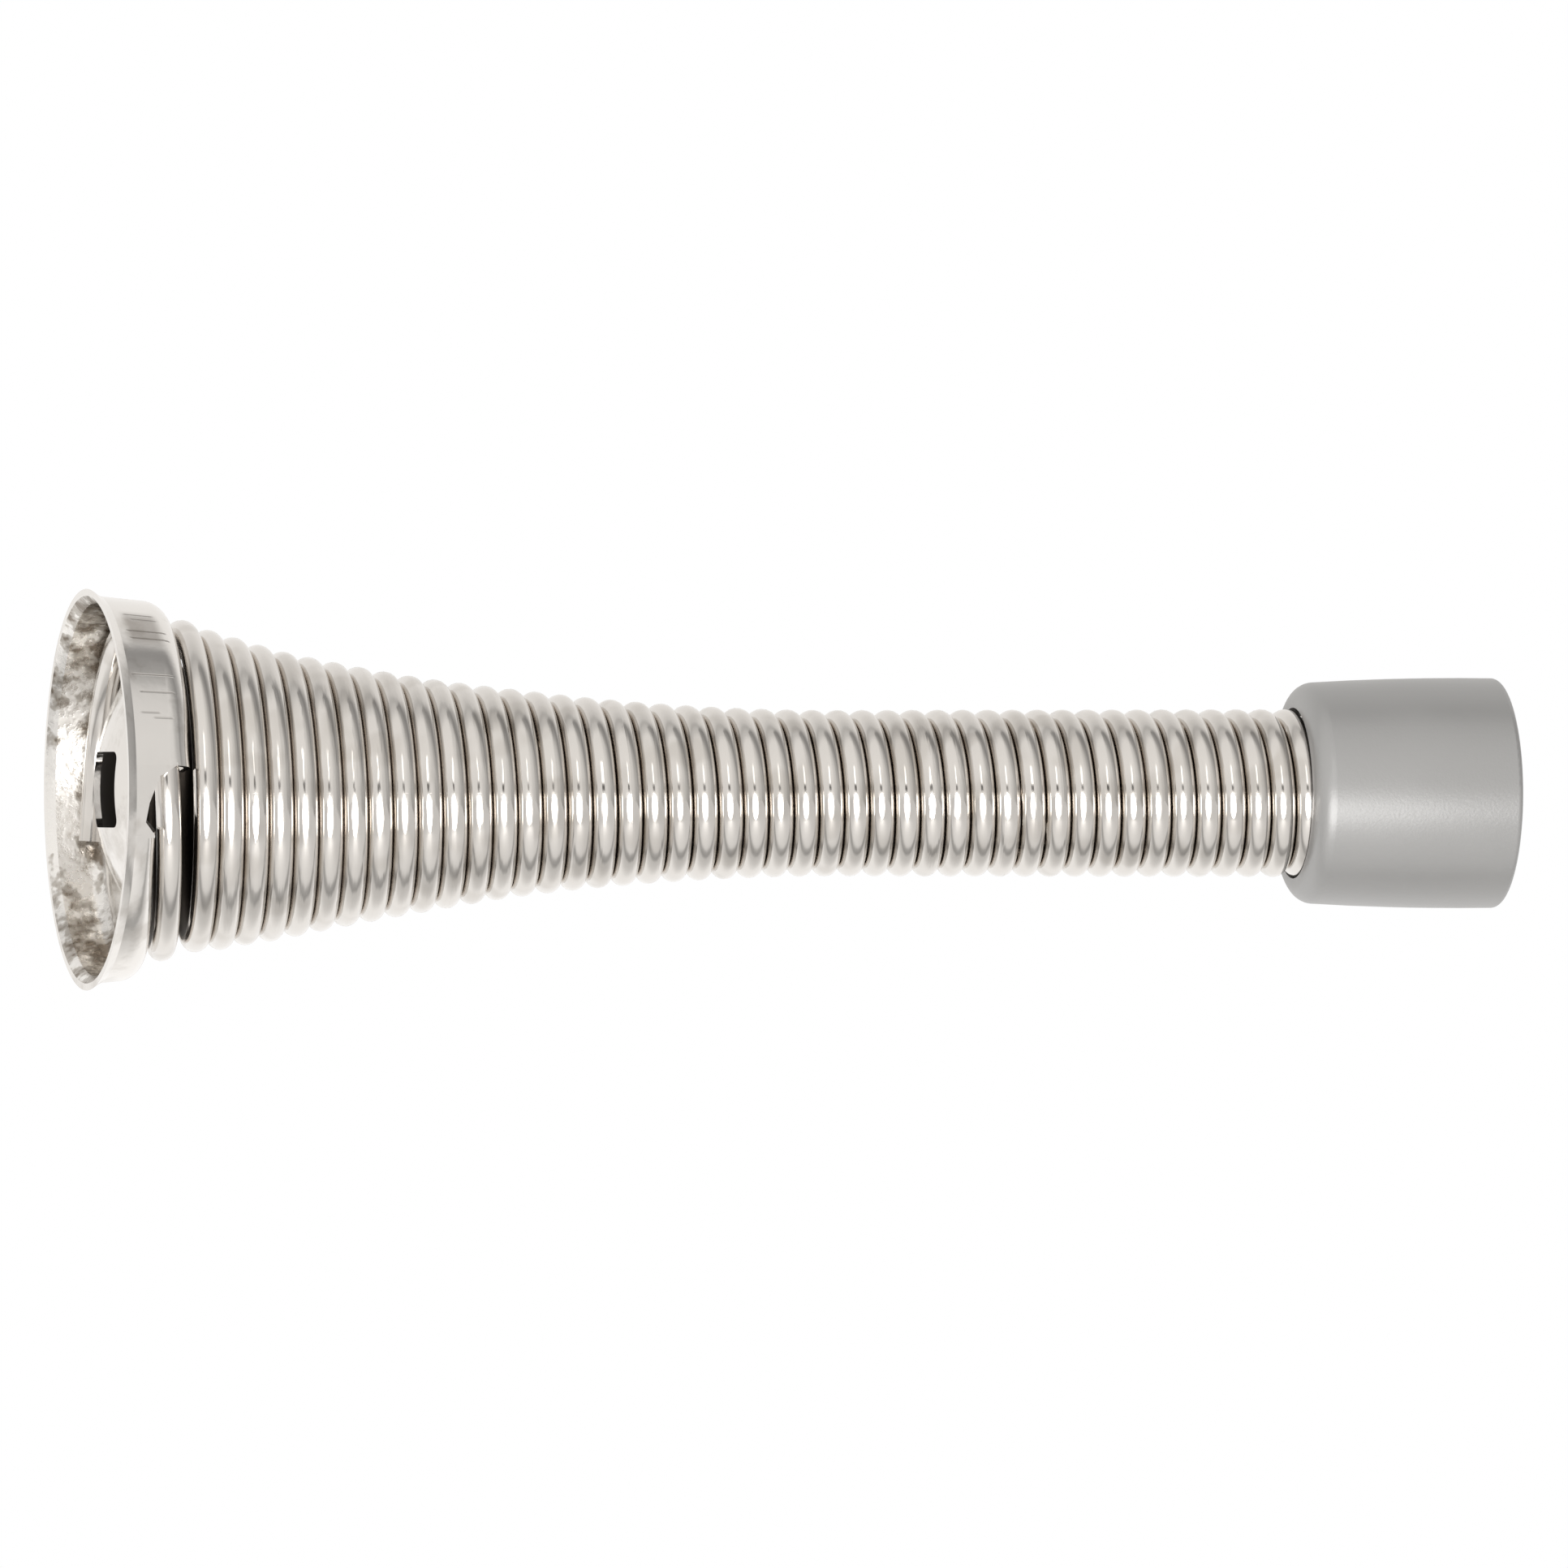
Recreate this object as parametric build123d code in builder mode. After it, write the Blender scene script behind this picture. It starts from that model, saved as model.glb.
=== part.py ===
from build123d import *
import math
import os

# Spring door stop: a stamped cup that is fixed to the wall, a close-wound wire spring
# whose wide end is threaded through a slit in the cup, and a rubber cap pushed on
# the narrow end.
#
# Frame, in mm: the cup's rim stands on the wall in the plane X = 0, with its centre at
# the origin. +X points away from the wall and +Z is up.
#
# A "turn" number says where a point lies around the wire and around the cup: a whole
# number faces -Y, a quarter later is at the bottom, a half faces +Y and three
# quarters is at the top. The spring is wound right-handed about its axis.

# Sheet and rim of the cup: the rim is a flat ring against the wall that stands out over
# the skirt
sheet = 0.35
rim_radius = 11.0
rim_height = 0.5
rim_flat = 0.38
rim_overhang = 0.38
rim_curl = 0.25

# Skirt and shoulder of the cup: the shoulder's bend gets smaller where the seat is too low
# for it, and leaves the margin of straight skirt
skirt_draft = 0.1
skirt_overlap = 0.06
shoulder_radius = 1.35
shoulder_margin = 0.05

# Coil seat, as turn and height over the wall. A ramp that climbs by one wire in its one
# turn comes on top of these heights, which tell how the sheet is pressed: down next to
# the slit, and up to a crest before it.
seat_pressing = [
    (0.037, 1.8182),
    (0.12, 2.012),
    (0.20, 2.46),
    (0.28, 2.728),
    (0.37, 2.822),
    (0.46, 2.856),
    (0.54, 2.924),
    (0.62, 3.052),
    (0.69, 3.174),
    (0.75, 3.22),
    (0.81, 2.986),
    (0.87, 2.732),
    (0.925, 2.545),
    (0.98, 2.388),
]
seat_inner_radius = 3.9

# Slit between the two ends of the seat, and the free edge of the tongue of skirt in it, as
# level over the middle and height over the wall
slit_tongue = [
    (1.35, 2.85), (0.95, 2.25), (0.75, 1.84), (-0.05, 1.5),
    (-0.7, 1.24), (-1.75, 1.05), (-2.45, 1.6), (-2.9, 1.6),
]
slit_margin = 1.0
slit_inner_radius = 5.0

# Dome in the middle of the cup, raised towards the wall, and its fixing slot
dome_radius = 11.6
dome_pole = 0.72
dome_margin = 1.72
slot_width = 5.3
slot_height = 4.15
slot_corner = 0.55

# Spring. Its length runs along its own leaning axis from the wall to the wire's last
# point. The wire starts inside the cup, comes out through the slit at turn 0, climbs over
# the seat and settles turn against turn; its coils narrow down to the end of the flare.
wire_diameter = 1.4
turn_gap = 0.02
spring_lean = 6.2
spring_drop = 0.2
spring_length = 72.66
first_turn = -0.548
points_per_turn = 12
station_slack = 0.03
slit_climb = 0.9
lift_turns = 0.65
seated_turns = 1.0
settled_sink = 0.25
inside_blend = 0.1
inside_clearance = 0.082
inside_margin = 0.44
seat_margin = 0.15
seated_depth = 5.5
flare_end_depth = 42
narrow_radius = 3.92
end_growth = 0.11

# Rise of the wire over the straight axis, as turn and height: the first turns sit high
# in the cup and the next ones sag a little
axis_rise = [(-0.25, 0), (0.1, 0.25), (0.8, 0.33), (2.2, 0.08), (5, -0.12), (9, -0.12), (15, 0)]

# Rubber tip: a cap that grips the last turns over tip_grip
tip_grip = 4.81
tip_length = 11.65
tip_wall = 1.35
tip_waist_share = 0.42
tip_waist_growth = 0.25
tip_front_growth = 0.32
tip_crown = 0.5
tip_back_round = 1.15
tip_front_round = 0.3
tip_clearance = 0.06
socket_depth = 7.2

# What follows from those sizes: the skirt from the rim, the seat's ramp from the wire, the
# coils from the skirt and the sheet they must clear, and the tip from the spring's end.
# In the slit the wire rests on the low end of the seat, and inside the cup it falls in
# half a turn by what the lean and the plate's underside ask of it.
lean = math.radians(spring_lean)
skirt_radius = rim_radius - rim_overhang
seat_stations = [(turn, height + wire_diameter * turn) for turn, height in seat_pressing]
dome_edge_radius = skirt_radius - dome_margin
inside_radius = skirt_radius - sheet - wire_diameter / 2 - inside_margin
seated_radius = skirt_radius - shoulder_radius - wire_diameter / 2 - seat_margin
slit_seat = seat_stations[0][1]
far_seat = seat_stations[5][1]
slit_height = slit_seat + wire_diameter / 2 + seated_radius * math.sin(lean)
slit_depth = round(slit_height / math.cos(lean), 3)
plate_drop = slit_seat - far_seat + wire_diameter + sheet + inside_clearance
inside_fall = plate_drop + (inside_radius + seated_radius) * math.sin(lean)
inside_pitch = round(2 * inside_fall / math.cos(lean), 2)
slit_pitch = wire_diameter + slit_climb
settled_pitch = wire_diameter - settled_sink
end_radius = narrow_radius + end_growth
tip_back_depth = spring_length - tip_grip
socket_radius = end_radius + wire_diameter / 2 + tip_clearance
tip_back_radius = socket_radius + tip_wall
tip_waist_radius = tip_back_radius + tip_waist_growth
tip_front_radius = tip_back_radius + tip_front_growth

spring_origin = Vector(0, 0, -spring_drop)
spring_direction = Vector(math.cos(lean), -math.sin(lean), 0)
spring_near = Vector(-math.sin(lean), -math.cos(lean), 0)
spring_axis = Axis(spring_origin, spring_direction)
spring_plane = Plane(origin=spring_origin, x_dir=spring_direction, z_dir=spring_near)


def radial_plane(turn):
    """Half plane through the cup's axis: local x runs outwards, local y along +X."""
    angle = 2 * math.pi * turn
    outwards = Vector(0, -math.cos(angle), -math.sin(angle))
    return Plane(origin=(0, 0, 0), x_dir=outwards, z_dir=outwards.cross(Vector(1, 0, 0)))


def flare_radius(depth):
    """Radius of the wire's centre line at a depth along the spring's own axis."""
    if depth >= flare_end_depth:
        last_depth = tip_back_depth + socket_depth
        share = (depth - flare_end_depth) / (last_depth - flare_end_depth)
        return narrow_radius + (end_radius - narrow_radius) * share
    share = (flare_end_depth - depth) / (flare_end_depth - seated_depth)
    return narrow_radius + (seated_radius - narrow_radius) * share**2


def rise_at(turn):
    """Rise of the wire over the straight axis at a turn."""
    for (low, low_rise), (high, high_rise) in zip(axis_rise, axis_rise[1:]):
        if low <= turn <= high:
            share = (turn - low) / (high - low)
            return low_rise + (high_rise - low_rise) * share**2 * (3 - 2 * share)
    return 0


def wire_radius(turn, depth):
    """As flare_radius, with the end inside the cup opened out to a radius of its own."""
    if turn >= 0:
        return flare_radius(depth)
    share = turn / first_turn
    return flare_radius(slit_depth) + (inside_radius - flare_radius(slit_depth)) * share


def pitch_at(turn, depth):
    """Climb in mm a turn: steep inside the cup, on the seat, then turn against turn."""
    if turn < -inside_blend:
        return inside_pitch
    if turn < inside_blend:
        share = (turn + inside_blend) / (2 * inside_blend)
        return inside_pitch + (slit_pitch - inside_pitch) * share
    if turn < lift_turns:
        return slit_pitch
    if turn < seated_turns:
        share = (turn - lift_turns) / (seated_turns - lift_turns)
        return slit_pitch + (settled_pitch - slit_pitch) * share
    step = 0.01
    slope = (flare_radius(depth + step) - flare_radius(depth)) / step
    return (wire_diameter + turn_gap) / math.hypot(1, slope)


def wire_points():
    """Centre line of the wire, marched both ways from where it passes the slit."""
    march = 0.01
    depths = {0: slit_depth}
    index = 0
    while depths[index] < spring_length:
        depths[index + 1] = depths[index] + march * pitch_at((index + 0.5) * march, depths[index])
        index += 1
    last_station = math.floor((index * march - first_turn) * points_per_turn + station_slack)
    for index in range(0, round(first_turn / march), -1):
        depths[index - 1] = depths[index] - march * pitch_at((index - 0.5) * march, depths[index])
    points = []
    for station in range(last_station + 1):
        turn = first_turn + station / points_per_turn
        low = math.floor(turn / march + 1e-6)
        share = turn / march - low
        depth = depths[low] * (1 - share) + depths.get(low + 1, depths[low]) * share
        angle = 2 * math.pi * turn
        outwards = spring_near * math.cos(angle) + Vector(0, 0, -1) * math.sin(angle)
        centre = spring_origin + spring_direction * depth + Vector(0, 0, rise_at(turn))
        points.append(centre + outwards * wire_radius(turn, depth))
    return points


foot = rim_height - skirt_overlap


def skirt_at(height):
    """Outer radius of the skirt, which narrows a little away from the wall."""
    return skirt_radius - skirt_draft * (height - rim_height)


# Seat: shoulder and plate, one turn of a ramp between the two sides of the slit, open
# where the dome comes through it
with BuildPart() as seat:
    for turn, height in seat_stations:
        with BuildSketch(radial_plane(turn)):
            bend = min(shoulder_radius, height - foot - shoulder_margin)
            bend_height = height - bend
            bend_radius = skirt_at(bend_height) - bend
            with BuildLine():
                Line((skirt_at(foot), foot), (skirt_at(bend_height), bend_height))
                CenterArc((bend_radius, bend_height), bend, 0, 90)
                Line((bend_radius, height), (seat_inner_radius, height))
                Line((seat_inner_radius, height), (seat_inner_radius, height - sheet))
                Line((seat_inner_radius, height - sheet), (bend_radius, height - sheet))
                CenterArc((bend_radius, bend_height), bend - sheet, 0, 90)
                Line((skirt_at(bend_height) - sheet, bend_height), (skirt_at(foot) - sheet, foot))
                Line((skirt_at(foot) - sheet, foot), (skirt_at(foot), foot))
            make_face()
    loft()
    with Locations((dome_pole + dome_radius, 0, 0)):
        Sphere(dome_radius - sheet / 2, mode=Mode.SUBTRACT)

# Dome: a spherical shell, cut off where it runs into the seat and at the slit
with BuildPart() as dome:
    with BuildSketch(Plane.XZ):
        with Locations((dome_pole + dome_radius, 0)):
            Circle(dome_radius)
            Circle(dome_radius - sheet, mode=Mode.SUBTRACT)
        with Locations((rim_radius / 2, dome_edge_radius / 2)):
            Rectangle(rim_radius, dome_edge_radius, mode=Mode.INTERSECT)
    revolve(axis=Axis.X)

# Space over the seat, down to the middle of its sheet: what the dome must not reach into
with BuildPart() as seat_space:
    for turn, height in seat_stations:
        with BuildSketch(radial_plane(turn)):
            with Locations(((seat_inner_radius + skirt_radius) / 2, height - sheet / 2 + rim_radius / 2)):
                Rectangle(skirt_radius - seat_inner_radius, rim_radius)
    loft()

slit_from = seat_stations[-1][0] - 1
slit_to = seat_stations[0][0]
slit_angle = 360 * (slit_to - slit_from)

with BuildPart() as slit_space:
    with BuildSketch(radial_plane(slit_from - slit_margin / 360)):
        with Locations(((slit_inner_radius + skirt_radius) / 2, dome_pole + rim_radius / 2)):
            Rectangle(skirt_radius - slit_inner_radius, rim_radius)
    revolve(axis=Axis.X, revolution_arc=slit_angle + 2 * slit_margin)

with BuildPart() as base_cup:
    # Tongue of skirt left standing in the slit, with its free edge cut on a slant
    with BuildSketch(radial_plane(slit_from - slit_margin / 360)):
        tongue_top = slit_tongue[0][1]
        tongue_skin = 0.05 * sheet
        with BuildLine():
            Polyline((skirt_at(foot) - tongue_skin, foot),
                     (skirt_at(tongue_top) - tongue_skin, tongue_top),
                     (skirt_at(tongue_top) - sheet + tongue_skin, tongue_top),
                     (skirt_at(foot) - sheet + tongue_skin, foot), close=True)
        make_face()
    revolve(axis=Axis.X, revolution_arc=slit_angle + 2 * slit_margin)
    cut_plane = Plane(origin=(0, -slit_inner_radius, 0), x_dir=(1, 0, 0), z_dir=(0, -1, 0))
    with BuildSketch(cut_plane):
        with BuildLine():
            edge_points = [(height, level) for level, height in slit_tongue]
            Polyline(*edge_points)
            Polyline(edge_points[-1], (rim_radius, edge_points[-1][1]),
                     (rim_radius, edge_points[0][1]), edge_points[0])
        make_face()
    extrude(amount=rim_radius, mode=Mode.SUBTRACT)
    add(seat.part)
    add(dome.part - seat_space.part - slit_space.part)
    # Rim: a full ring that flares towards the wall
    with BuildSketch(Plane.XZ):
        neck_outer = skirt_at(rim_height) + skirt_overlap
        neck_inner = skirt_at(rim_height) - sheet - skirt_overlap
        rim_inner = rim_radius - rim_flat
        with BuildLine():
            Bezier((0, rim_radius), (rim_curl, neck_outer + rim_curl / 2), (rim_height, neck_outer))
            Line((rim_height, neck_outer), (rim_height, neck_inner))
            Bezier((rim_height, neck_inner), (rim_curl, neck_inner + rim_curl / 2), (0, rim_inner))
            Line((0, rim_inner), (0, rim_radius))
        make_face()
    revolve(axis=Axis.X)
    with BuildSketch(Plane.YZ):
        RectangleRounded(slot_width, slot_height, slot_corner)
    extrude(amount=dome_radius / 2, mode=Mode.SUBTRACT)

# Spring: one wire, swept along its centre line a turn at a time
centre_line = wire_points()


def heading(index):
    """Direction of the centre line at one of its points."""
    before = centre_line[max(index - 1, 0)]
    after = centre_line[min(index + 1, len(centre_line) - 1)]
    return (after - before).normalized()


with BuildPart() as spring:
    with BuildLine() as wire_path:
        for start in range(0, len(centre_line) - 1, points_per_turn):
            end = min(start + points_per_turn, len(centre_line) - 1)
            Spline(*centre_line[start:end + 1], tangents=(heading(start), heading(end)),
                   tangent_scalars=(1, 1))
    with BuildSketch(Plane(origin=centre_line[0], z_dir=heading(0))):
        Circle(wire_diameter / 2)
    sweep(path=wire_path.line)

# Rubber tip: a tapered cap with a socket over the last turns of the spring
tip_front_depth = tip_back_depth + tip_length
socket_end = tip_back_depth + socket_depth
with BuildPart() as rubber_tip:
    with BuildSketch(spring_plane) as tip_profile:
        with BuildLine():
            back_edge = (tip_back_depth, tip_back_radius)
            waist = (tip_back_depth + tip_waist_share * tip_length, tip_waist_radius)
            front_edge = (tip_front_depth, tip_front_radius)
            front_pole = (tip_front_depth + tip_crown, 0)
            Line((tip_back_depth, socket_radius), back_edge)
            Spline(back_edge, waist, front_edge)
            Bezier(front_edge, (tip_front_depth + tip_crown, 0.45 * tip_front_radius), front_pole)
            Polyline(front_pole, (socket_end, 0), (socket_end, socket_radius),
                     (tip_back_depth, socket_radius))
        make_face()
        fillet(tip_profile.vertices().sort_by_distance(back_edge)[0], min(tip_back_round, 0.9 * tip_wall))
        fillet(tip_profile.vertices().sort_by_distance(front_edge)[0], tip_front_round)
    revolve(axis=spring_axis)

base_cup.part.label = "base_cup"
spring.part.label = "spring"
rubber_tip.part.label = "rubber_tip"

os.makedirs("parts", exist_ok=True)
for piece in (base_cup, spring, rubber_tip):
    export_step(piece.part, f"parts/{piece.part.label}.step")
    print(piece.part.label, "volume", round(piece.part.volume, 1), "mm3, solids", len(piece.part.solids()))
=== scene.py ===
# %% [markdown]
# # A spring door stop
# The object is small: a stamped cup that is fixed to the wall, a wire spring wound turn
# against turn, and a grey rubber cap on its free end. Its three shapes come ready made
# from the CAD frame, in metres, so this lesson is about finishes and light.
# Almost everything a viewer sees on bright nickel is a reflection, which means the room
# around the object has to be designed as carefully as the plating itself.

import math

import bpy
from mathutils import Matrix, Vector

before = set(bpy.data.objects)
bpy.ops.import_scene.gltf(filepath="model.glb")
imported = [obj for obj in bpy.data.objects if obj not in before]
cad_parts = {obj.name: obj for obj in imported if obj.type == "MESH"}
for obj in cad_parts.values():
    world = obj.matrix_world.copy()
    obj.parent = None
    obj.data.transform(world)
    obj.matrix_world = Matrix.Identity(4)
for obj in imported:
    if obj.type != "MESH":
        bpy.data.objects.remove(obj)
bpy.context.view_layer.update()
MM = 0.001

# %% [markdown]
# ## Sums in a node graph
# A material is a small graph. Writing each node as one call keeps the graph readable as a
# sum: `math_node(tree, "MULTIPLY", a, b)` is a times b. An input can be a number or
# another node's output, and `feed` tells the two apart.

# %% Helpers for sums
def feed(tree, socket, value):
    """Put a number, a colour or another node's output into a socket."""
    if isinstance(value, bpy.types.NodeSocket):
        tree.links.new(value, socket)
    else:
        socket.default_value = value


def math_node(tree, operation, first, second=0.0):
    """One operation on one or two numbers."""
    node = tree.nodes.new("ShaderNodeMath")
    node.operation = operation
    feed(tree, node.inputs[0], first)
    feed(tree, node.inputs[1], second)
    return node.outputs[0]


def sum_of_products(tree, first_pair, second_pair):
    """a times b plus c times d, from the pairs (a, b) and (c, d)."""
    return math_node(tree, "ADD",
                     math_node(tree, "MULTIPLY", *first_pair),
                     math_node(tree, "MULTIPLY", *second_pair))


def as_share(tree, value):
    """A value between -1 and 1 as a share between 0 and 1."""
    return math_node(tree, "ADD", math_node(tree, "MULTIPLY", value, 0.5), 0.5)


# Ends for a range that is open on one side: no length or normal here gets that far.
BELOW_ALL = -1.0
ABOVE_ALL = 2.0


def between(tree, value, low, high, soft):
    """1 where the value is between low and high, falling to 0 within `soft` outside them."""
    rise = tree.nodes.new("ShaderNodeMapRange")
    rise.interpolation_type = "SMOOTHSTEP"
    feed(tree, rise.inputs["Value"], value)
    rise.inputs["From Min"].default_value = low - soft
    rise.inputs["From Max"].default_value = low
    fall = tree.nodes.new("ShaderNodeMapRange")
    fall.interpolation_type = "SMOOTHSTEP"
    feed(tree, fall.inputs["Value"], value)
    fall.inputs["From Min"].default_value = high
    fall.inputs["From Max"].default_value = high + soft
    falling = math_node(tree, "SUBTRACT", 1.0, fall.outputs[0])
    return math_node(tree, "MULTIPLY", rise.outputs[0], falling)


# %% [markdown]
# ## Tones and relief
# Plating and rubber are never one even colour. A noise says where a patch lies, a colour
# ramp turns it into tones, a mix lays one tone over another, and a bump node turns the
# same noise into a relief too shallow to be worth modelling.

# %% Helpers for tones and relief
def opaque(colour):
    """The colour as a socket takes it, from three levels or from one level of grey."""
    return (colour, colour, colour, 1.0) if isinstance(colour, float) else (*colour, 1.0)


def ramp(tree, factor, stops):
    """Soft colour ramp from a list of (position, grey or colour)."""
    node = tree.nodes.new("ShaderNodeValToRGB")
    node.color_ramp.interpolation = "EASE"
    elements = node.color_ramp.elements
    while len(elements) < len(stops):
        elements.new(1.0)
    for element, (position, colour) in zip(elements, stops):
        element.position = position
        element.color = opaque(colour)
    feed(tree, node.inputs["Fac"], factor)
    return node.outputs["Color"]


# A mix node has inputs and outputs for every kind of value. These are the colour's.
FIRST_COLOUR, SECOND_COLOUR, MIXED_COLOUR = 6, 7, 2


def mix_colour(tree, factor, first, second, blend="MIX"):
    """The first colour where the factor is 0, and the second where it is 1."""
    node = tree.nodes.new("ShaderNodeMix")
    node.data_type = "RGBA"
    node.blend_type = blend
    feed(tree, node.inputs["Factor"], factor)
    feed(tree, node.inputs[FIRST_COLOUR], first)
    feed(tree, node.inputs[SECOND_COLOUR], second)
    return node.outputs[MIXED_COLOUR]


def noise(tree, vector, scale, detail, roughness=0.5):
    """Cloudy pattern between 0 and 1; the scale is in patches a metre."""
    node = tree.nodes.new("ShaderNodeTexNoise")
    feed(tree, node.inputs["Vector"], vector)
    feed(tree, node.inputs["Scale"], scale)
    feed(tree, node.inputs["Detail"], detail)
    feed(tree, node.inputs["Roughness"], roughness)
    return node.outputs["Fac"]


def bump(tree, height, strength, distance, after=None):
    """Normals of a relief, laid over the relief `after` where there is one."""
    node = tree.nodes.new("ShaderNodeBump")
    feed(tree, node.inputs["Height"], height)
    feed(tree, node.inputs["Strength"], strength)
    feed(tree, node.inputs["Distance"], distance)
    if after is not None:
        tree.links.new(after, node.inputs["Normal"])
    return node.outputs["Normal"]


# %% [markdown]
# ## Places on the object
# The finishes are tied to places: the mouth of the cup, the outside of a coil, a mark at
# some height over the wall. All of these come from the object's own coordinates, which
# are in metres from the middle of the rim, so nothing has to be unwrapped.

# %% Helpers for places
def new_material(name):
    """A fresh material, its node graph and its shader."""
    material = bpy.data.materials.new(name)
    material.use_nodes = True
    shader = material.node_tree.nodes["Principled BSDF"]
    return material, material.node_tree, shader


def object_point(tree):
    return tree.nodes.new("ShaderNodeTexCoord").outputs["Object"]


def object_normal(tree):
    return tree.nodes.new("ShaderNodeTexCoord").outputs["Normal"]


def split(tree, vector):
    node = tree.nodes.new("ShaderNodeSeparateXYZ")
    feed(tree, node.inputs[0], vector)
    return node.outputs["X"], node.outputs["Y"], node.outputs["Z"]


def join(tree, x, y, z):
    node = tree.nodes.new("ShaderNodeCombineXYZ")
    for socket, value in zip(node.inputs, (x, y, z)):
        feed(tree, socket, value)
    return node.outputs[0]


# %% [markdown]
# ## Where a point lies on the spring
# Two numbers tie the wire's finish to its shape. The spring's axis leans a few degrees off
# the wall's normal and passes a little under the middle of the cup's rim. With them, a
# material can tell "along the wire" from "across the wire": along it is the angle round
# the spring's axis, found with an arctangent. It can also tell the polished outside of a
# coil from the grooves between the coils and from their hidden inside.

# %% Coordinates on the spring
SPRING_LEAN = math.radians(6.2)
SPRING_DROP = 0.2 * MM


def spring_coordinates(tree):
    """Distance along the spring's axis, distance from it, and angle round it."""
    mapping = tree.nodes.new("ShaderNodeMapping")
    mapping.vector_type = "POINT"
    mapping.inputs["Location"].default_value = (0, 0, SPRING_DROP)
    mapping.inputs["Rotation"].default_value = (0, 0, SPRING_LEAN)
    tree.links.new(object_point(tree), mapping.inputs["Vector"])
    along, across, up = split(tree, mapping.outputs[0])
    away = math_node(tree, "SQRT", sum_of_products(tree, (across, across), (up, up)))
    return along, away, math_node(tree, "ARCTAN2", up, across)


def facing_out(tree, angle):
    """0 where the wire faces the spring's axis, 0.5 where turns touch, 1 on the outside."""
    turned = tree.nodes.new("ShaderNodeVectorRotate")
    turned.rotation_type = "Z_AXIS"
    tree.links.new(object_normal(tree), turned.inputs["Vector"])
    turned.inputs["Angle"].default_value = SPRING_LEAN
    normal_across, normal_up = split(tree, turned.outputs[0])[1:]
    outward = sum_of_products(tree,
                              (normal_across, math_node(tree, "COSINE", angle)),
                              (normal_up, math_node(tree, "SINE", angle)))
    return as_share(tree, outward)


print("spring leans by", round(math.degrees(SPRING_LEAN), 1), "degrees")

# %% [markdown]
# ## Nickel on drawn wire
# Spring wire is pulled through a die before it is wound, so it keeps faint lines along its
# length, and bright nickel plating lays a mirror with a slight warm tone over them.
# A mirror with a flat normal looks computer-made. The lines are added as a very shallow
# bump: a noise that changes fast across the wire and slowly along it. Between the coils
# the wire is rougher, and its colour is darkened as painted shade, which is also what makes
# each coil stand out.

# %% Nickel for the spring
NICKEL = (0.70, 0.672, 0.64)
NICKEL_SHADE = (0.62, 0.59, 0.555)
# Painted shade: the grooves between the coils are darkened in colour.
GROOVE_SHADE_NICKEL = (0.60, 0.545, 0.49)
# The darkest painted shade, deep between the coils and on the dome under the spring.
DEEP_SHADE_NICKEL = (0.12, 0.103, 0.087)
DULL_ROUGHNESS = 0.45
CUP_DEPTH = 2.6 * MM
CUP_DEPTH_SOFT = 1.0 * MM
WIRE_LINES_PER_M = 2600.0
WIRE_LINES_PER_RADIAN = 1.6
WIRE_LINE_DEPTH = 0.012 * MM
WIRE_LINE_STRENGTH = 0.25
WIRE_WAVES_PER_M = 420.0
WIRE_WAVE_DEPTH = 0.05 * MM
WIRE_WAVE_STRENGTH = 0.5
# Stops of the ramps over how far a face looks outwards, and over the noises.
HIDDEN_TO_GROOVE = [(0.3, 0.0), (0.44, 1.0)]
GROOVE_TO_OUTSIDE = [(0.54, 0.0), (0.74, 1.0)]
DULL_TO_SMOOTH = [(0.4, 0.0), (0.6, 1.0)]
WIRE_TONES = [(0.33, NICKEL_SHADE), (0.5, NICKEL)]
WIRE_ROUGHNESS = [(0.3, 0.09), (0.75, 0.19)]


def nickel_wire():
    material, tree, shader = new_material("nickel_wire")
    along, away, angle = spring_coordinates(tree)
    drawn = join(tree,
                 math_node(tree, "MULTIPLY", along, WIRE_LINES_PER_M),
                 math_node(tree, "MULTIPLY", away, WIRE_LINES_PER_M),
                 math_node(tree, "MULTIPLY", angle, WIRE_LINES_PER_RADIAN))
    # The vector already counts lines, so the noise isn't scaled again.
    lines = noise(tree, drawn, 1.0, detail=3.0)
    waves = noise(tree, object_point(tree), WIRE_WAVES_PER_M, detail=1.0)
    # Where the wire lies open in the cup it gets no painted shade and is bright all round.
    in_cup = between(tree, along, BELOW_ALL, CUP_DEPTH, CUP_DEPTH_SOFT)
    lit_and_polished = math_node(tree, "MAXIMUM", facing_out(tree, angle), in_cup)
    # Painted shade: the tone of the grooves and of the hidden inside of the coils.
    groove_shade = mix_colour(tree, ramp(tree, lit_and_polished, HIDDEN_TO_GROOVE),
                        opaque(DEEP_SHADE_NICKEL), opaque(GROOVE_SHADE_NICKEL))
    tone = mix_colour(tree, ramp(tree, lit_and_polished, GROOVE_TO_OUTSIDE), groove_shade, ramp(tree, waves, WIRE_TONES))
    shader.inputs["Metallic"].default_value = 1.0
    feed(tree, shader.inputs["Base Color"], tone)
    rough = mix_colour(tree, ramp(tree, lit_and_polished, DULL_TO_SMOOTH),
                       opaque(DULL_ROUGHNESS), ramp(tree, lines, WIRE_ROUGHNESS))
    feed(tree, shader.inputs["Roughness"], rough)
    normal = bump(tree, lines, WIRE_LINE_STRENGTH, WIRE_LINE_DEPTH)
    normal = bump(tree, waves, WIRE_WAVE_STRENGTH, WIRE_WAVE_DEPTH, after=normal)
    tree.links.new(normal, shader.inputs["Normal"])
    return material


print("wire lines a turn", round(WIRE_LINES_PER_RADIAN * 2 * math.pi))

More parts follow.
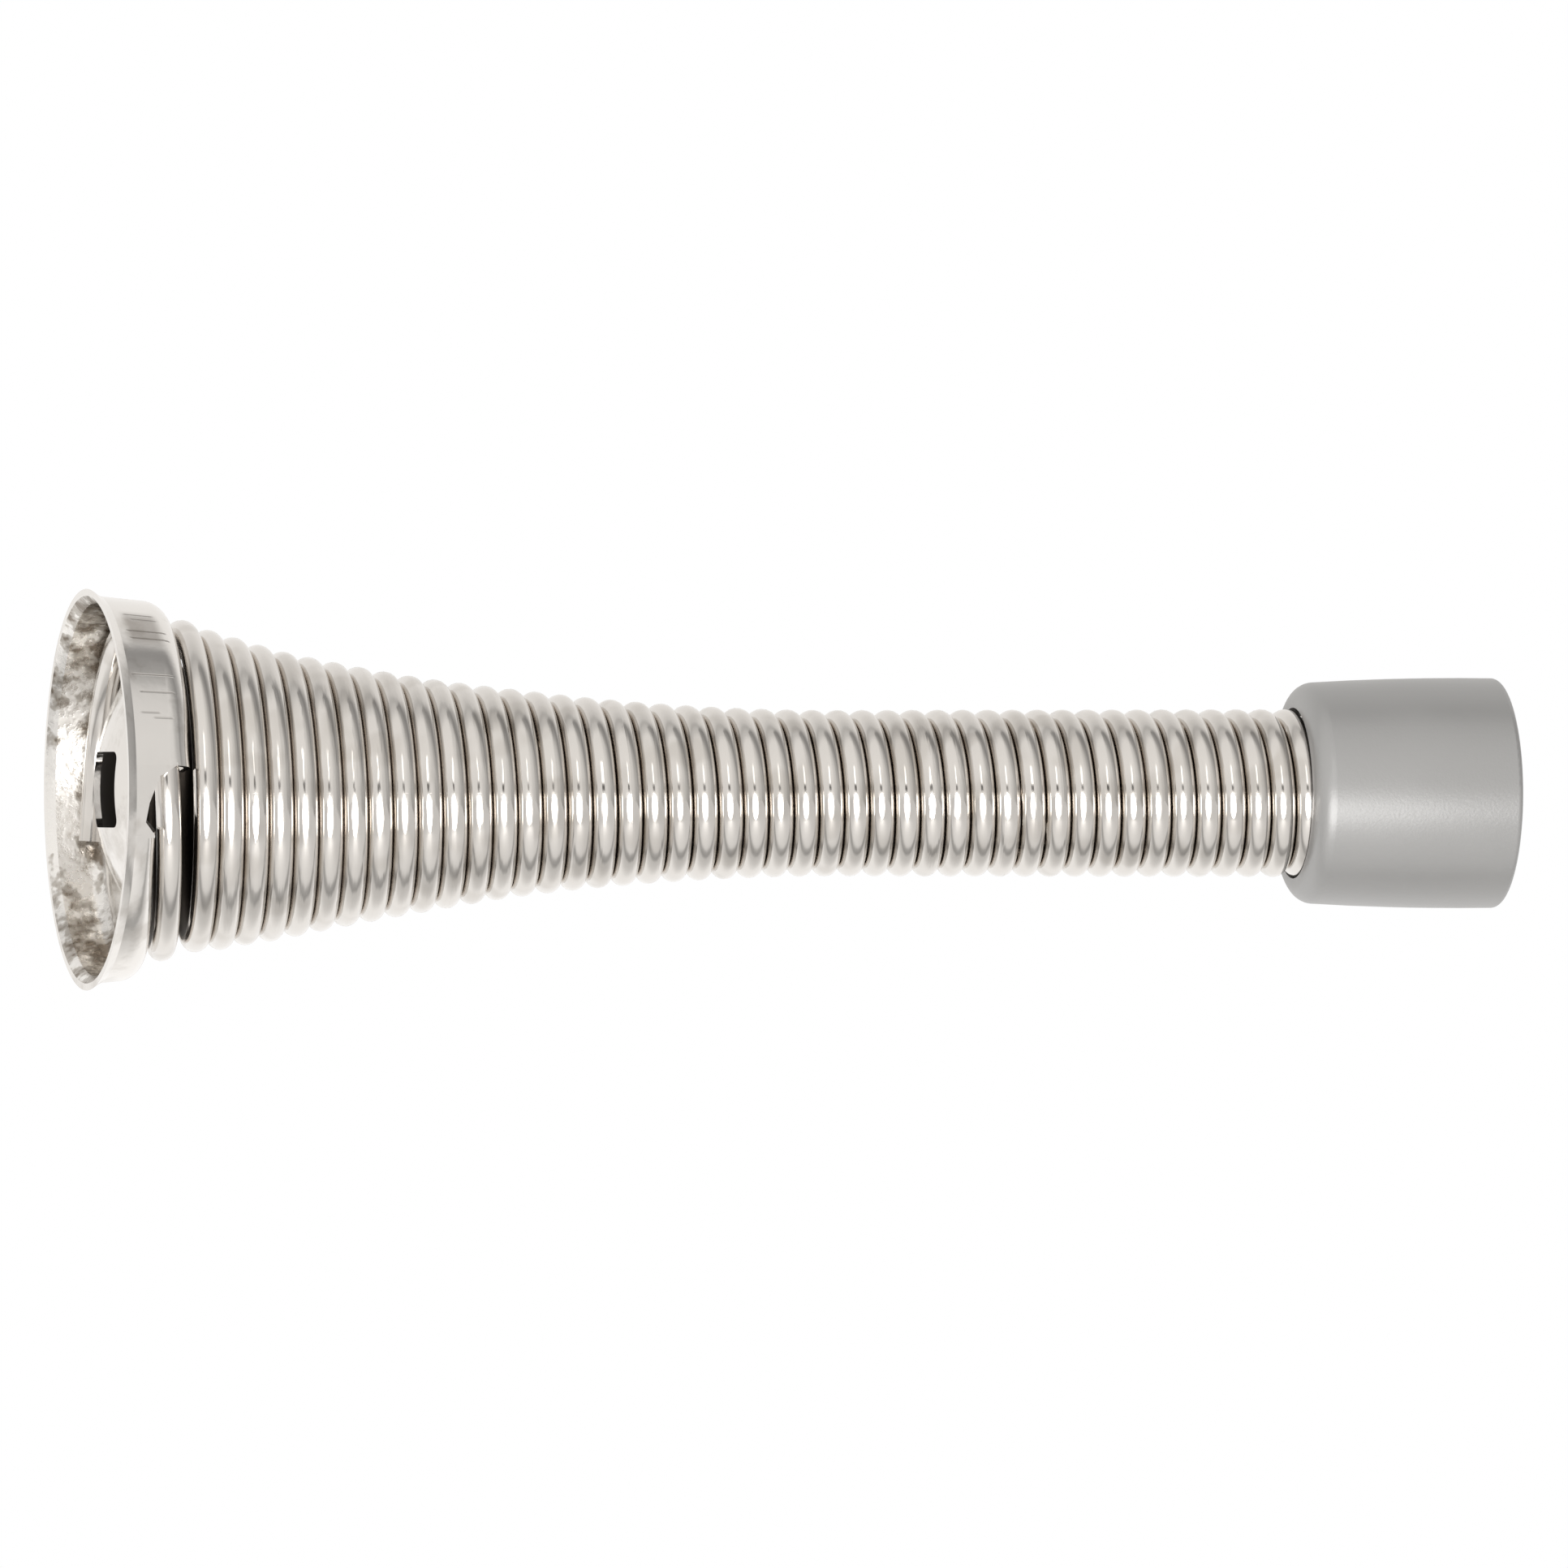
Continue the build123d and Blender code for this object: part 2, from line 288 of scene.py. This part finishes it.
# %% [markdown]
# ## Inside and outside of the stamped cup
# The cup has two faces. Outside, the press has polished the sheet. Inside, the plating is
# grainy and cloudy, because nobody looks there. Two materials would need a split mesh, so
# one material does both: a point is inside if its normal points back towards the cup's
# axis, and a mask made from that blends the two finishes.

# %% Mask for the inside of the cup
CUP_RADIUS = 10.6 * MM
INSIDE_TO_OUTSIDE = [(0.18, 1.0), (0.34, 0.0)]


def inside_mask(tree):
    """1 on the inner wall of the skirt, which faces the cup's axis."""
    normal_y, normal_z = split(tree, object_normal(tree))[1:]
    point_y, point_z = split(tree, object_point(tree))[1:]
    outward = sum_of_products(tree, (normal_y, point_y), (normal_z, point_z))
    outward_share = as_share(tree, math_node(tree, "DIVIDE", outward, CUP_RADIUS))
    return ramp(tree, outward_share, INSIDE_TO_OUTSIDE)


# %% [markdown]
# ## Marks of the drawing tool
# The press leaves a few short lines where the metal was drawn round the shoulder. Each
# one is a narrow band of angle and a short span of height, so a list of angles and spans
# describes them all. The tool also rubbed a brown smear into the plating there. The dome
# in the middle lies at the same heights, so both are kept to the skirt by their distance
# from the cup's axis.

# %% Draw marks on the cup
# Degrees over the horizontal, start and end in mm from the wall, and depth from 0 to 1.
DRAW_MARKS = [
    (64.5, 1.2, 2.6, 0.8), (61.5, 1.5, 2.7, 0.6), (54.8, 1.1, 3.0, 1.0), (51.2, 1.2, 3.1, 1.0),
    (36.2, 0.9, 2.9, 0.7), (30.2, 1.2, 2.8, 0.6), (23.4, 1.1, 1.9, 0.45), (21.8, 1.8, 2.6, 0.45),
]
DRAW_MARK_WIDTH = math.radians(0.3)
DRAW_MARK_SOFT = 0.25 * MM
SMEAR_ANGLES = (math.radians(52), math.radians(62))
SMEAR_ANGLE_SOFT = math.radians(6)
SMEAR_SPAN = (1.3 * MM, 2.5 * MM)
SMEAR_SPAN_SOFT = 0.6 * MM
SKIRT_FROM = 9.3 * MM
SKIRT_SOFT = 0.5 * MM


def axis_distance(tree, point_y, point_z):
    """Distance from the cup's axis."""
    return math_node(tree, "SQRT", sum_of_products(tree, (point_y, point_y), (point_z, point_z)))


def draw_marks(tree, angle, height):
    """Depth of the marks between 0 and 1, at an angle round the cup and a height."""
    marks = 0.0
    for degrees, start, end, depth in DRAW_MARKS:
        middle = math.radians(degrees)
        across = between(tree, angle, middle - DRAW_MARK_WIDTH / 2, middle + DRAW_MARK_WIDTH / 2,
                         DRAW_MARK_WIDTH)
        along = between(tree, height, start * MM, end * MM, DRAW_MARK_SOFT)
        mark = math_node(tree, "MULTIPLY", math_node(tree, "MULTIPLY", across, along), depth)
        marks = math_node(tree, "MAXIMUM", marks, mark)
    return marks


def brown_smear(tree, angle, height):
    """1 in the smear that the drawing tool left."""
    return math_node(tree, "MULTIPLY",
                     between(tree, angle, *SMEAR_ANGLES, SMEAR_ANGLE_SOFT),
                     between(tree, height, *SMEAR_SPAN, SMEAR_SPAN_SOFT))


print("draw marks:", len(DRAW_MARKS))

# %% [markdown]
# ## Tones of the cup
# Outside, the tones are close together, and only the marks, the smear and the dome stand
# out: under the spring's mouth the dome is darkened as painted shade and made rough.
# Inside, brown blotches show where the plating is thin. The noise that makes them is also
# lowered towards the top and bottom of the wall and deeper in, as painted shade, and this
# leaves a painted bright band across the middle of the wall.

# %% Outer and inner tones
CUP_NICKEL = (0.80, 0.775, 0.745)
CUP_SHADE = (0.66, 0.63, 0.595)
BLOTCH = (0.15, 0.125, 0.10)
INNER_BLOTCH = (0.22, 0.185, 0.15)
INNER_HAZE = (0.5, 0.47, 0.43)
# The lightest inner tone, which the painted bright band in the middle of the wall takes.
INNER_CLEAN_AND_LIT = (0.86, 0.84, 0.81)
OUTER_TONES = [(0.34, CUP_SHADE), (0.5, CUP_NICKEL)]
INNER_TONES = [(0.21, INNER_BLOTCH), (0.33, INNER_HAZE), (0.42, INNER_CLEAN_AND_LIT)]
INNER_PATCHES_PER_M = 620.0
# Painted shade: how far the blotch noise is lowered at the top and bottom, and a metre deeper in.
BLOTCHES_AND_SHADE_UP_AND_DOWN = 0.2
BLOTCHES_AND_SHADE_PER_M_DEEPER = 25.0
SMEAR_STRENGTH = 0.5
MARK_STRENGTH = 0.6
DOME_RADIUS = 7.6 * MM
DOME_SOFT = 0.8 * MM
SPRING_SIDE = 0.3
SPRING_SIDE_SOFT = 0.3


def shaded_dome(tree, radius):
    """1 on the side of the dome that faces the spring, where the painted shade goes."""
    spring_side = split(tree, object_normal(tree))[0]
    return math_node(tree, "MULTIPLY",
                     between(tree, radius, BELOW_ALL, DOME_RADIUS, DOME_SOFT),
                     between(tree, spring_side, SPRING_SIDE, ABOVE_ALL, SPRING_SIDE_SOFT))


def outer_tone(tree, clouds, smear, dome_shade, marks):
    tone = ramp(tree, clouds, OUTER_TONES)
    tone = mix_colour(tree, math_node(tree, "MULTIPLY", smear, SMEAR_STRENGTH), tone, opaque(BLOTCH))
    # Painted shade on the dome under the spring.
    tone = mix_colour(tree, dome_shade, tone, opaque(DEEP_SHADE_NICKEL))
    return mix_colour(tree, math_node(tree, "MULTIPLY", marks, MARK_STRENGTH), tone, opaque(BLOTCH))


def inner_tone(tree, point, point_x, point_z):
    level = math_node(tree, "DIVIDE", math_node(tree, "ABSOLUTE", point_z), CUP_RADIUS)
    patches = noise(tree, point, INNER_PATCHES_PER_M, detail=3.0, roughness=0.65)
    # Painted shade: the clean tone is lowered towards the top and bottom of the wall and deeper in.
    clean_and_lit = math_node(tree, "SUBTRACT", patches, math_node(tree, "MULTIPLY", level, BLOTCHES_AND_SHADE_UP_AND_DOWN))
    clean_and_lit = math_node(tree, "SUBTRACT", clean_and_lit, math_node(tree, "MULTIPLY", point_x, BLOTCHES_AND_SHADE_PER_M_DEEPER))
    return ramp(tree, clean_and_lit, INNER_TONES)


# %% [markdown]
# ## Nickel on the stamped cup
# The last step joins the masks and tones in one shader. The outside is almost a mirror
# with a slow unevenness from the press. The inside is rougher and has a fine grain as
# relief. The marks are pressed in, so their bump has a distance below zero.

# %% Nickel for the cup
CUP_CLOUDS_PER_M = 330.0
CUP_CLOUD_DEPTH = 0.06 * MM
CUP_CLOUD_STRENGTH = 0.35
CUP_GRAIN_PER_M = 2200.0
CUP_GRAIN_DEPTH = 0.08 * MM
CUP_GRAIN_STRENGTH = 0.5
DRAW_MARK_DEPTH = 0.05 * MM
DRAW_MARK_STRENGTH = 0.5
OUTER_ROUGHNESS = [(0.3, 0.18), (0.7, 0.11)]
INNER_ROUGHNESS = [(0.3, 0.2), (0.7, 0.36)]
COVERED_ROUGHNESS = 0.8


def nickel_cup():
    material, tree, shader = new_material("nickel_cup")
    point = object_point(tree)
    point_x, point_y, point_z = split(tree, point)
    angle = math_node(tree, "ARCTAN2", point_z, math_node(tree, "MULTIPLY", point_y, -1.0))
    radius = axis_distance(tree, point_y, point_z)
    on_skirt = between(tree, radius, SKIRT_FROM, ABOVE_ALL, SKIRT_SOFT)
    inside = inside_mask(tree)
    outside = math_node(tree, "SUBTRACT", 1.0, inside)
    marks = math_node(tree, "MULTIPLY", draw_marks(tree, angle, point_x), outside)
    marks = math_node(tree, "MULTIPLY", marks, on_skirt)
    smear = math_node(tree, "MULTIPLY", brown_smear(tree, angle, point_x), on_skirt)
    clouds = noise(tree, point, CUP_CLOUDS_PER_M, detail=4.0, roughness=0.6)
    grain = noise(tree, point, CUP_GRAIN_PER_M, detail=3.0, roughness=0.6)
    # Painted shade goes on the dome under the spring.
    dome_shade = shaded_dome(tree, radius)
    outer = outer_tone(tree, clouds, smear, dome_shade, marks)
    inner = inner_tone(tree, point, point_x, point_z)
    shader.inputs["Metallic"].default_value = 1.0
    feed(tree, shader.inputs["Base Color"], mix_colour(tree, inside, outer, inner))
    outer_rough = mix_colour(tree, dome_shade, ramp(tree, clouds, OUTER_ROUGHNESS), opaque(COVERED_ROUGHNESS))
    inner_rough = ramp(tree, grain, INNER_ROUGHNESS)
    feed(tree, shader.inputs["Roughness"], mix_colour(tree, inside, outer_rough, inner_rough))
    normal = bump(tree, clouds, CUP_CLOUD_STRENGTH, CUP_CLOUD_DEPTH)
    grain_height = math_node(tree, "MULTIPLY", grain, inside)
    normal = bump(tree, grain_height, CUP_GRAIN_STRENGTH, CUP_GRAIN_DEPTH, after=normal)
    normal = bump(tree, marks, DRAW_MARK_STRENGTH, -DRAW_MARK_DEPTH, after=normal)
    tree.links.new(normal, shader.inputs["Normal"])
    return material


# %% [markdown]
# ## Soft grey rubber
# The tip is moulded in a light grey rubber. Under the lamp it shows one broad, low
# highlight, so it is a middling roughness over a grey that is neither warm nor cold, with
# a stronger reflection than most rubbers have. A trace of fine grain keeps the highlight
# from looking like plastic.

# %% Rubber for the tip
RUBBER = (0.252, 0.25, 0.247)
SHADE_SHARE = 0.96
RUBBER_SHADE = tuple(SHADE_SHARE * level for level in RUBBER)
RUBBER_TONES = [(0.3, RUBBER_SHADE), (0.7, RUBBER)]
RUBBER_ROUGHNESS = [(0.3, 0.31), (0.7, 0.36)]
RUBBER_IOR = 1.8
RUBBER_SHEEN = 1.0
RUBBER_BLOOM_PER_M = 160.0
RUBBER_GRAIN_PER_M = 6500.0
RUBBER_GRAIN_DEPTH = 0.02 * MM
RUBBER_GRAIN_STRENGTH = 0.35


def grey_rubber():
    material, tree, shader = new_material("grey_rubber")
    point = object_point(tree)
    grain = noise(tree, point, RUBBER_GRAIN_PER_M, detail=2.0)
    bloom = noise(tree, point, RUBBER_BLOOM_PER_M, detail=3.0)
    feed(tree, shader.inputs["Base Color"], ramp(tree, bloom, RUBBER_TONES))
    shader.inputs["Specular IOR Level"].default_value = RUBBER_SHEEN
    shader.inputs["IOR"].default_value = RUBBER_IOR
    feed(tree, shader.inputs["Roughness"], ramp(tree, bloom, RUBBER_ROUGHNESS))
    normal = bump(tree, grain, RUBBER_GRAIN_STRENGTH, RUBBER_GRAIN_DEPTH)
    tree.links.new(normal, shader.inputs["Normal"])
    return material


# %% [markdown]
# ## Finishes on the pieces
# Each CAD piece gets its own finish. Its mesh stays as it is, but it has to be shaded
# smooth, or every facet of the wire would reflect on its own. An edge sharper than about
# thirty degrees, such as the cut edge of the slot, stays crisp.

# %% Put the finishes on the CAD pieces
SHARP_FROM = math.radians(32)
FINISHES = {"spring": nickel_wire, "base_cup": nickel_cup, "rubber_tip": grey_rubber}
for name, make in FINISHES.items():
    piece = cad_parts[name]
    material = make()
    for slot in piece.material_slots:
        slot.material = material
    for polygon in piece.data.polygons:
        polygon.use_smooth = True
    piece.data.set_sharp_from_angle(angle=SHARP_FROM)
    print(name, "has", len(piece.data.polygons), "faces and the finish", material.name)

# %% [markdown]
# ## Bands of the room
# Bright metal in a white studio shows broad pale areas and a few dark lines, which are the
# seams between the white sheets around it. The world is built in the same way. Its
# brightness depends on the angle round the object's long side, from the camera over the
# top to the back and down under it again, with a darker seam above and below. The room
# also gets darker beyond the free end of the spring, as the sheets end there.

# %% Bands of the world
CAMERA_AZIMUTH = math.radians(-16.5)
# Degrees round the long side, with 0 at the camera and 90 overhead, and brightness.
ROOM = [
    (-180, 0.98), (-125, 0.94), (-108, 0.74), (-95, 0.5), (-84, 0.56), (-72, 0.8), (-40, 0.9),
    (0, 0.94), (40, 1.02), (72, 0.98), (89, 0.7), (99, 0.58), (110, 0.78), (124, 0.88), (142, 0.96),
    (180, 0.98),
]
ROOM_WARMTH = (1.0, 0.982, 0.958)
# Degrees round the vertical, with 0 at the camera and 90 past the free end, and the share
# of the brightness that is left.
ROOM_SIDES = [
    (-180, 1.0), (-60, 1.0), (20, 1.0), (50, 0.8), (75, 0.55), (110, 0.5), (140, 1.0), (180, 1.0),
]

world = bpy.data.worlds.new("white_room")
bpy.context.scene.world = world
world.use_nodes = True
room = world.node_tree
turn_room = room.nodes.new("ShaderNodeMapping")
turn_room.inputs["Rotation"].default_value = (0, 0, -CAMERA_AZIMUTH)
room.links.new(room.nodes.new("ShaderNodeTexCoord").outputs["Generated"], turn_room.inputs["Vector"])
room_x, room_y, room_z = split(room, turn_room.outputs[0])
towards_front = math_node(room, "MULTIPLY", room_y, -1.0)
room_angle = math_node(room, "ARCTAN2", room_z, towards_front)
room_side = math_node(room, "ARCTAN2", room_x, towards_front)


def circle_ramp(angle, stops):
    """Ramp over a full circle, from -180 to 180, from a list of (degrees, grey or colour)."""
    share = math_node(room, "ADD", math_node(room, "DIVIDE", angle, 2 * math.pi), 0.5)
    return ramp(room, share, [((degrees + 180) / 360, level) for degrees, level in stops])


warm_bands = [(degrees, tuple(level * warmth for warmth in ROOM_WARMTH)) for degrees, level in ROOM]
room_colour = mix_colour(room, 1.0, circle_ramp(room_angle, warm_bands),
                         circle_ramp(room_side, ROOM_SIDES), "MULTIPLY")
print("world bands:", len(ROOM))

# %% [markdown]
# ## Patches straight ahead
# The coils mirror what stands before them, each in a thin vertical line. Three patches
# make that line lively: a wide halo around the lamp low down, a small dark gap between
# two sheets just above the camera, and a bright glow over the gap. Camera rays get plain
# white instead of the room, so the picture's background is clean.

# %% Patches of the world
# Name, degrees round the vertical, degrees round the long side, soft edge in degrees, and
# colour.
PATCHES = [
    ("halo", (-22, 22), (-28, -12), 14, (1.5, 1.48, 1.45)),
    ("gap", (-9, 6), (4, 8), 4, (0.14, 0.135, 0.13)),
    ("glow", (-5, 2), (14, 34), 4, (2.2, 2.17, 2.12)),
]
BACKDROP = 1.0

for name, sides, angles, soft_degrees, colour in PATCHES:
    soft = math.radians(soft_degrees)
    patch = math_node(room, "MULTIPLY",
                      between(room, room_side, *(math.radians(side) for side in sides), soft),
                      between(room, room_angle, *(math.radians(angle) for angle in angles), soft))
    room_colour = mix_colour(room, patch, room_colour, opaque(colour))
    print("patch", name, "is", sides[1] - sides[0], "by", angles[1] - angles[0], "degrees")

camera_ray = room.nodes.new("ShaderNodeLightPath").outputs["Is Camera Ray"]
seen_room = mix_colour(room, camera_ray, room_colour, opaque(BACKDROP))
feed(room, room.nodes["Background"].inputs["Color"], seen_room)

# %% [markdown]
# ## Camera
# The picture was taken from far off, level with the object, and a little from the wall's
# side, so that the inside of the cup shows. A long lens keeps the coils almost parallel.
# The lens follows from how much of the object's plane the picture has to hold.

# %% Camera
AIM = Vector((38.64, -4.20, 0.31)) * MM
DISTANCE = 518 * MM
FIELD_WIDTH = 87.03 * MM
SENSOR_WIDTH = 36.0
CLIP_START = 0.01

towards_camera = Vector((math.sin(CAMERA_AZIMUTH), -math.cos(CAMERA_AZIMUTH), 0))
camera_data = bpy.data.cameras.new("camera")
camera_data.sensor_width = SENSOR_WIDTH
camera_data.lens = SENSOR_WIDTH * DISTANCE / FIELD_WIDTH
camera_data.clip_start = CLIP_START
camera = bpy.data.objects.new("camera", camera_data)
camera.location = AIM + towards_camera * DISTANCE
camera.rotation_mode = "QUATERNION"
camera.rotation_quaternion = (-towards_camera).to_track_quat("-Z", "Y")
bpy.context.collection.objects.link(camera)
bpy.context.scene.camera = camera
print("lens in mm", round(camera_data.lens, 1))

# %% [markdown]
# ## One oval lamp
# The white dash on every coil and the broad sheen on the rubber come from the same large,
# low lamp in front of the object. Its height sets how tall the dash is, its width how
# wide, and its oval outline rounds the dash's ends. The lamp is described by the
# brightness of its surface, because that is what a mirror shows, and its power follows
# from its size.

# %% Lamp
LAMP_ELEVATION = math.radians(-19)
LAMP_DISTANCE = 0.5
LAMP_WIDTH = 0.46
LAMP_HEIGHT = 0.30
LAMP_BRIGHTNESS = 3.2
LAMP_COLOUR = (1.0, 0.99, 0.975)

lamp_data = bpy.data.lights.new("front_lamp", "AREA")
lamp_data.shape = "ELLIPSE"
lamp_data.size = LAMP_WIDTH
lamp_data.size_y = LAMP_HEIGHT
lamp_data.energy = LAMP_BRIGHTNESS * math.pi * LAMP_WIDTH * LAMP_HEIGHT
lamp_data.color = LAMP_COLOUR
lamp = bpy.data.objects.new("front_lamp", lamp_data)
level_share = math.cos(LAMP_ELEVATION)
towards_lamp = Vector((math.sin(CAMERA_AZIMUTH) * level_share,
                       -math.cos(CAMERA_AZIMUTH) * level_share,
                       math.sin(LAMP_ELEVATION)))
lamp.location = AIM + towards_lamp * LAMP_DISTANCE
lamp.rotation_mode = "QUATERNION"
lamp.rotation_quaternion = (-towards_lamp).to_track_quat("-Z", "Y")
lamp.visible_camera = False
bpy.context.collection.objects.link(lamp)
print("lamp power in W", round(lamp_data.energy, 2))

# %% [markdown]
# ## Floor
# The stop is held by a wall well above the floor, so the floor is a pale plane some way
# under it, far enough for the shadow to be soft, and lifted towards white for the camera.
# The coils' undersides mirror the floor and not the room, so the lower dark seam is
# painted on it, seen by reflected rays only. The same rays find it glowing further off, in
# front and behind, as a lit floor would.

# %% Floor
FLOOR_DROP = 320 * MM
FLOOR_SIZE = 4.0
FLOOR_GREY = 0.8
FLOOR_GLOW_COLOUR = 1.0
FLOOR_ROUGHNESS = 0.9
FLOOR_LIFT = 0.5
# Metres behind the point under the object (below zero in front), and brightness.
FLOOR_SEAM = [(-0.07, 0.8), (-0.025, 0.5), (0.005, 0.44), (0.05, 0.8)]
FLOOR_GLOW = [(-0.10, 0.14), (-0.03, 0.0), (0.04, 0.0), (0.30, 0.45)]
# A ramp runs from 0 to 1, and its middle stands for the point under the object.
RAMP_MIDDLE = 0.5

bpy.ops.mesh.primitive_plane_add(size=FLOOR_SIZE, location=(AIM.x, AIM.y, -FLOOR_DROP))
floor = bpy.context.object
floor.name = "floor"
floor_material, floor_tree, floor_shader = new_material("pale_floor")
floor_shader.inputs["Roughness"].default_value = FLOOR_ROUGHNESS
floor_shader.inputs["Specular IOR Level"].default_value = 0.0
floor_shader.inputs["Emission Color"].default_value = opaque(FLOOR_GLOW_COLOUR)
floor_path = floor_tree.nodes.new("ShaderNodeLightPath")
floor_y = split(floor_tree, object_point(floor_tree))[1]
glossy_ray = floor_path.outputs["Is Glossy Ray"]
floor_share = math_node(floor_tree, "ADD", floor_y, RAMP_MIDDLE)


def floor_ramp(stops):
    """Ramp across the floor from a list of (metres behind the object, grey)."""
    return ramp(floor_tree, floor_share, [(RAMP_MIDDLE + metres, level) for metres, level in stops])


floor_tone = mix_colour(floor_tree, glossy_ray, opaque(FLOOR_GREY), floor_ramp(FLOOR_SEAM))
feed(floor_tree, floor_shader.inputs["Base Color"], floor_tone)
reflected = math_node(floor_tree, "MULTIPLY", glossy_ray, floor_ramp(FLOOR_GLOW))
direct = math_node(floor_tree, "MULTIPLY", floor_path.outputs["Is Camera Ray"], FLOOR_LIFT)
feed(floor_tree, floor_shader.inputs["Emission Strength"], math_node(floor_tree, "ADD", direct, reflected))
floor.data.materials.append(floor_material)
print("floor is", round(FLOOR_DROP / MM), "mm under the rim's centre")

# %% [markdown]
# ## Picture settings
# The plain view transform keeps white paper white and doesn't bend the greys of the metal.

# %% Picture settings
bpy.context.scene.view_settings.view_transform = "Standard"
print("view transform", bpy.context.scene.view_settings.view_transform)
